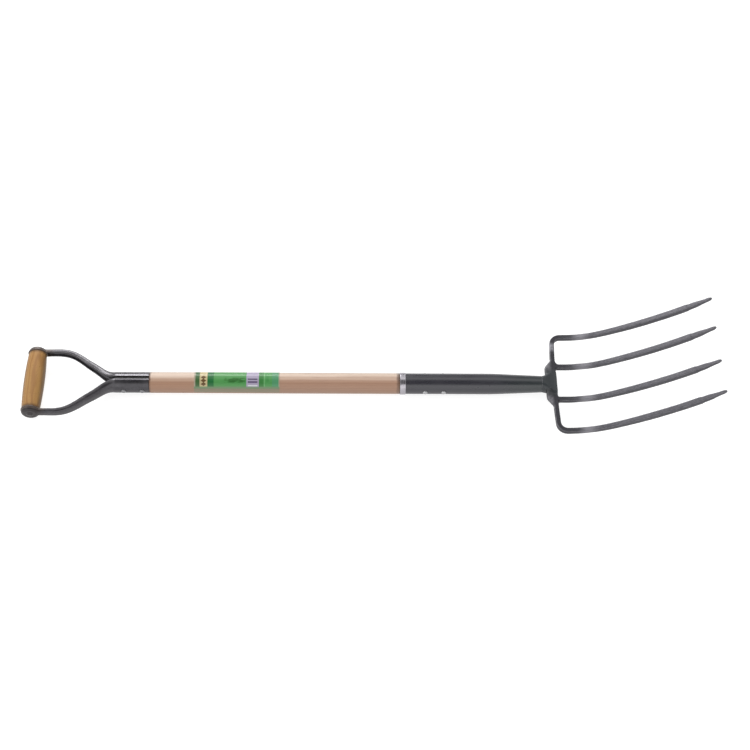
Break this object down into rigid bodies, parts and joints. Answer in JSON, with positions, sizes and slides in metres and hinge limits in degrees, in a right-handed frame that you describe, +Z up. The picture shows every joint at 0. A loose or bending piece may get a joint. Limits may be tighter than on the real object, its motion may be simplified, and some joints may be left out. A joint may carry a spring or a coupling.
{
  "type": "digging fork",
  "caption": "Long garden digging fork with a steel D-handle and wooden grip, a round ash shaft, a tubular steel socket and square tines curved to a blunt taper.",
  "frame": {"origin": "on the surface the fork lies on, under the middle of its length and width", "axes": "+X along the shaft from the grip to the tine tips, +Y across the tines to the left when looking towards the tips, +Z up, the side the tines curve to"},
  "size_m": [0.9798, 0.1666, 0.1237],
  "materials": {
    "shaft_wood": "pale ash, sanded and clear lacquered",
    "grip_wood": "honey-brown hardwood, turned and satin varnished",
    "label_film": "printed green adhesive film, glossy",
    "bright_steel": "bright pressed steel",
    "rivet_steel": "bright zinc-plated steel, domed heads",
    "handle_steel": "dark grey gloss enamel on pressed steel",
    "black_paint": "dark grey enamel, smooth on the tube and heavier on the hub",
    "tine_steel": "dark grey enamel over forged square bar, slightly uneven"
  },
  "bodies": {
    "root": {"shaft": "shaft_wood", "label": "label_film", "ferrule": "bright_steel", "socket": "black_paint", "socket_rivets": "rivet_steel", "handle_rivets": "rivet_steel", "grip": "grip_wood", "grip_rod": "handle_steel", "handle_arm_left": "handle_steel", "handle_arm_right": "handle_steel", "outer_tine_bow": "tine_steel", "inner_tine_left": "tine_steel", "inner_tine_right": "tine_steel", "hub": "black_paint", "tine_root_welds": "tine_steel"}
  },
  "joints": []
}
